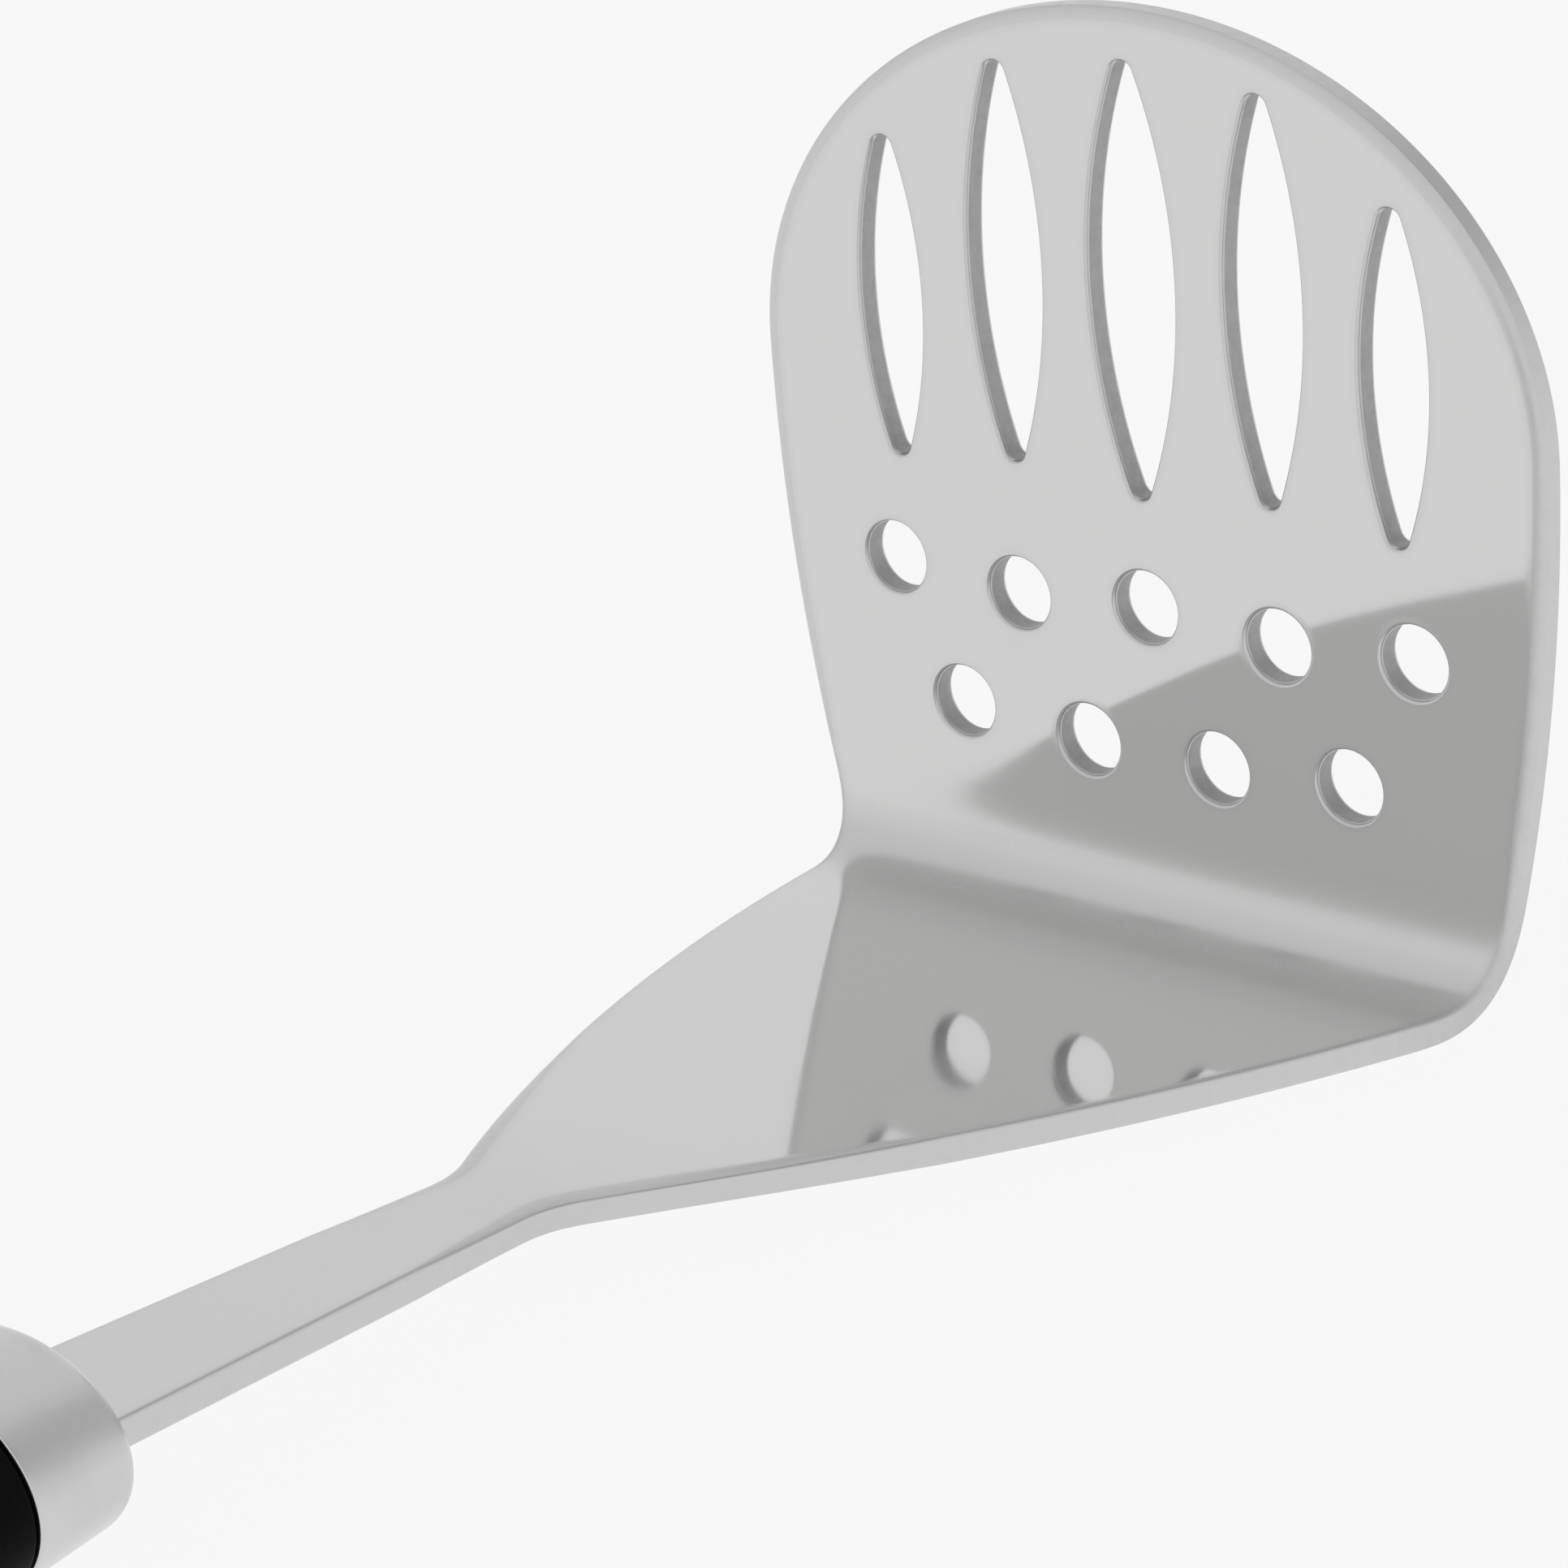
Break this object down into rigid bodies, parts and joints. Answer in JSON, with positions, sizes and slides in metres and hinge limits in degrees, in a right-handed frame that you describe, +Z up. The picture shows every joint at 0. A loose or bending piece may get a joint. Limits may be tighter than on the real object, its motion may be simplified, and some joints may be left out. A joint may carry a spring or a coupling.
{
  "type": "potato masher",
  "caption": "Hand masher: an upright perforated steel plate bent from its tapering neck, with a steel ferrule and a black oval handle.",
  "frame": {"origin": "middle of the footprint, on the surface that the masher lies on", "axes": "+X from the handle to the head, +Y across the head, +Z up; the masher lies on its back with the head plate upright"},
  "size_m": [0.2762, 0.0888, 0.0914],
  "materials": {
    "polished_steel": "mirror-polished stainless sheet",
    "satin_steel": "softly polished stainless steel",
    "core_plastic": "moulded",
    "black_grip": "smooth satin",
    "black_plastic": "satin",
    "pin_steel": "drawn wire"
  },
  "bodies": {
    "root": {"masher_blade": "polished_steel", "ferrule": "satin_steel", "grip_core": "core_plastic", "grip_sleeve": "black_grip", "end_cap": "black_plastic", "tang_pins": "pin_steel"}
  },
  "joints": []
}
